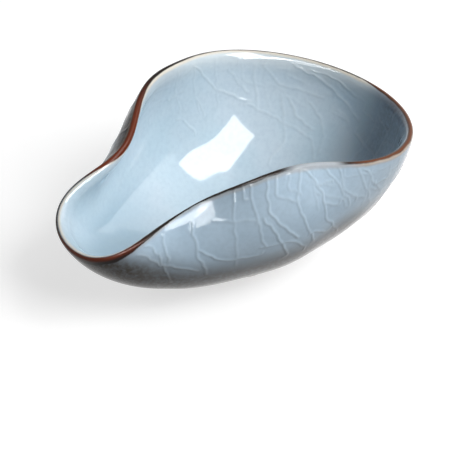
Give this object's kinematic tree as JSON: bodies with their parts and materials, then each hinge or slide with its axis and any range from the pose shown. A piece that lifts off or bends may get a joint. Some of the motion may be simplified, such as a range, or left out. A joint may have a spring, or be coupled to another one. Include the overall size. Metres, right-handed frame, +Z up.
{
  "type": "tea scoop",
  "caption": "Open ceramic tea scoop: an egg-shaped bowl pinched at the neck and drawn out into a low rounded spout, with crackled blue-grey glaze, an iron-brown lip and a foot ring.",
  "frame": {"origin": "on the table, under the middle of the scoop's length and width", "axes": "+X from the spout's tip towards the back of the bowl, +Z up, the scoop alike on both sides of the XZ plane"},
  "size_m": [0.1201, 0.0858, 0.054],
  "materials": {
    "clay": "fired stoneware, matt",
    "outer_glaze": "opaque crackled glaze, gloss",
    "inner_glaze": "opaque crackled glaze, gloss",
    "iron": "iron-brown glaze, gloss",
    "bare_foot": "bare iron-bearing clay, matt"
  },
  "bodies": {
    "root": {"stoneware_body": "clay", "outer_glaze": "outer_glaze", "inner_glaze": "inner_glaze", "well_glaze": "outer_glaze", "iron_lip": "iron", "foot_ring": "bare_foot"}
  },
  "joints": []
}
